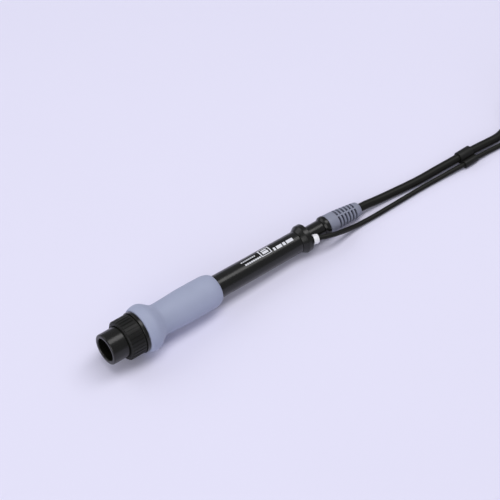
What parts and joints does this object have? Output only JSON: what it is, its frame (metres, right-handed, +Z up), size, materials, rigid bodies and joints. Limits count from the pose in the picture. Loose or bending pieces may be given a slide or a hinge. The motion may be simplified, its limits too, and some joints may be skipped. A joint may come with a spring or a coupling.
{
  "type": "gas-assisted soldering handpiece",
  "caption": "Soldering handpiece with no tip fitted: open nose tube, fluted lock ring, soft flared grip, slim barrel, ribbed strain relief, cable and thin gas hose tied in a hank.",
  "frame": {"origin": "middle of the handle's own box, from nose rim to the end of the strain relief, on the surface it lies on", "axes": "+X runs back from the nose towards the cables, +Y is the side away from the hose fitting, +Z up. The handle lies with its tail 2.8 degrees lower than its nose."},
  "size_m": [0.4857, 0.0387, 0.028],
  "materials": {
    "gloss_black": "smooth, glossy",
    "matt_black": "satin moulded",
    "grey_rubber": "soft, matt",
    "white_plastic": "smooth",
    "insulator": "moulded, fine grain",
    "circuit_board": "lacquered laminate",
    "brass": "plain",
    "steel": "nickel plated",
    "wire_cover": "smooth",
    "cord_black": "satin, flexible"
  },
  "bodies": {
    "handle": {"barrel": "gloss_black", "grip_sleeve": "grey_rubber", "end_cap": "gloss_black", "hose_fitting": "matt_black", "cord_bushing": "gloss_black", "strain_relief": "grey_rubber", "contact_block": "insulator", "contact_1": "brass", "contact_2": "brass", "contact_3": "brass", "terminal_board": "circuit_board", "sleep_sensor": "steel", "lead_1": "wire_cover", "lead_2": "wire_cover", "lead_3": "wire_cover", "gas_tube": "insulator", "cable": "cord_black", "hose": "cord_black", "cord_clip": "matt_black", "cable_hank": "cord_black", "hose_hank": "cord_black", "hank_tie_1": "matt_black", "hank_tie_2": "matt_black", "cable_tail": "cord_black", "hose_tail": "cord_black", "plug_boot": "cord_black", "plug_body": "steel", "plug_insert": "insulator", "plug_pin_1": "brass", "plug_pin_2": "brass", "plug_pin_3": "brass", "plug_pin_4": "brass", "plug_pin_5": "brass", "plug_pin_6": "brass", "hose_ferrule": "steel", "hose_connector": "brass"},
    "nose": {"nose_sleeve": "gloss_black", "front_seal": "cord_black"},
    "lock_ring_body": {"lock_ring": "matt_black"},
    "release_body": {"release_ring": "white_plastic"},
    "plug_ring_body": {"plug_coupling": "steel"}
  },
  "joints": [
    {"name": "nose_slide", "type": "slide", "parent": "handle", "child": "nose", "axis": [-0.9988, 0, 0.0491], "range_m": [0, 0.0045]},
    {"name": "lock_ring_turn", "type": "hinge", "parent": "nose", "child": "lock_ring_body", "pos_m": [-0.07546, 0, 0.01466], "axis": [-0.9988, 0, 0.0491], "range_deg": [0, 1080]},
    {"name": "release_press", "type": "slide", "parent": "handle", "child": "release_body", "axis": [-0.9648, 0.2588, 0.0474], "range_m": [0, 0.0005], "stiffness_N_per_m": 600, "springref_m": -0.001},
    {"name": "plug_ring_turn", "type": "hinge", "parent": "handle", "child": "plug_ring_body", "pos_m": [0.38486, 0.004, 0.0095], "axis": [1, 0, 0], "continuous": true}
  ],
  "couplings": [
    {"joint": "lock_ring_turn", "follows": "nose_slide", "rad_per_m": 4188.8}
  ]
}
